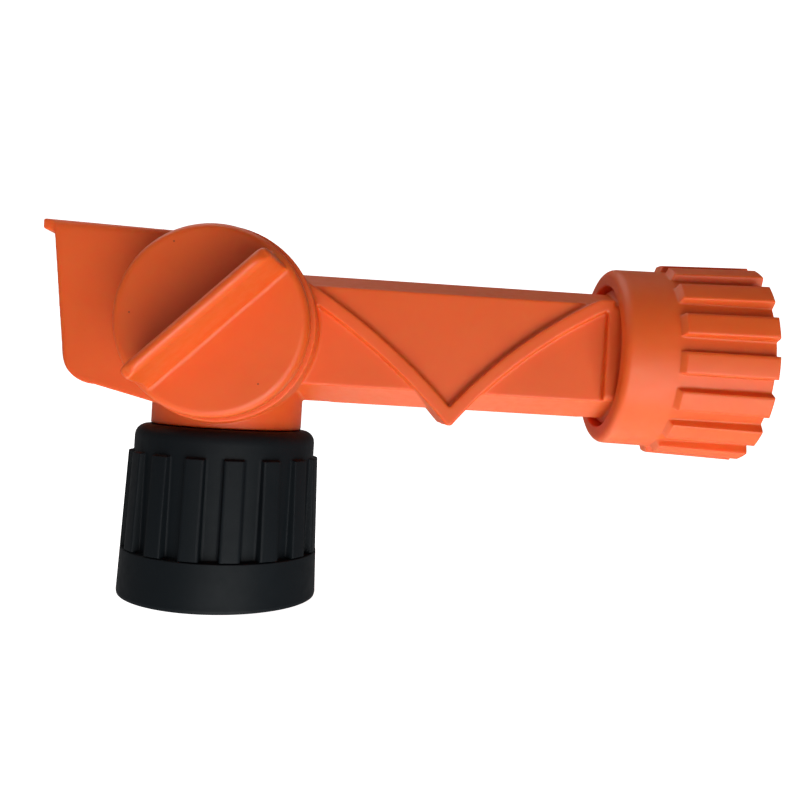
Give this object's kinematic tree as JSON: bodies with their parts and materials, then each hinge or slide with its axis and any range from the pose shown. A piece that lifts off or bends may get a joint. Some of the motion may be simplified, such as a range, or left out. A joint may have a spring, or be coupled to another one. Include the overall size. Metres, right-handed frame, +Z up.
{
  "type": "bottle pour spout with valve",
  "caption": "Two-way pour spout: a quarter-turn valve joins a threaded neck to an open lipped trough or to a ribbed side arm with a second threaded collar.",
  "frame": {"origin": "centre of the lower collar's open mouth, which screws on to the bottle", "axes": "+X along the side arm to its nut, +Z up the neck, knob on the -Y side"},
  "size_m": [0.1676, 0.0742, 0.0872],
  "materials": {
    "orange_plastic": "satin moulded, fine grain",
    "black_plastic": "soft matte",
    "white_plastic": "natural acetal",
    "grey_rubber": "smooth silicone",
    "black_rubber": "moulded",
    "steel": "stainless"
  },
  "bodies": {
    "housing": {"body": "orange_plastic", "port_liner": "grey_rubber", "rear_cap": "orange_plastic", "neck_ring": "white_plastic", "neck_gasket": "black_rubber", "arm_ring": "white_plastic", "arm_gasket": "black_rubber"},
    "valve": {"knob": "orange_plastic", "rotor": "white_plastic", "front_oring": "black_rubber", "stem_oring": "black_rubber", "slip_washer": "white_plastic", "stem_washer": "steel", "stem_screw": "steel"},
    "lower_collar": {"collar": "black_plastic"},
    "arm_nut": {"nut": "orange_plastic"}
  },
  "joints": [
    {"name": "knob_turn", "type": "hinge", "parent": "housing", "child": "valve", "pos_m": [0, 0, 0.0637], "axis": [0, -1, 0], "range_deg": [0, 90]},
    {"name": "collar_spin", "type": "hinge", "parent": "housing", "child": "lower_collar", "pos_m": [0, 0, 0.02], "axis": [0, 0, 1], "continuous": true},
    {"name": "nut_spin", "type": "hinge", "parent": "housing", "child": "arm_nut", "pos_m": [0.1, 0, 0.0632], "axis": [1, 0, 0], "continuous": true}
  ]
}
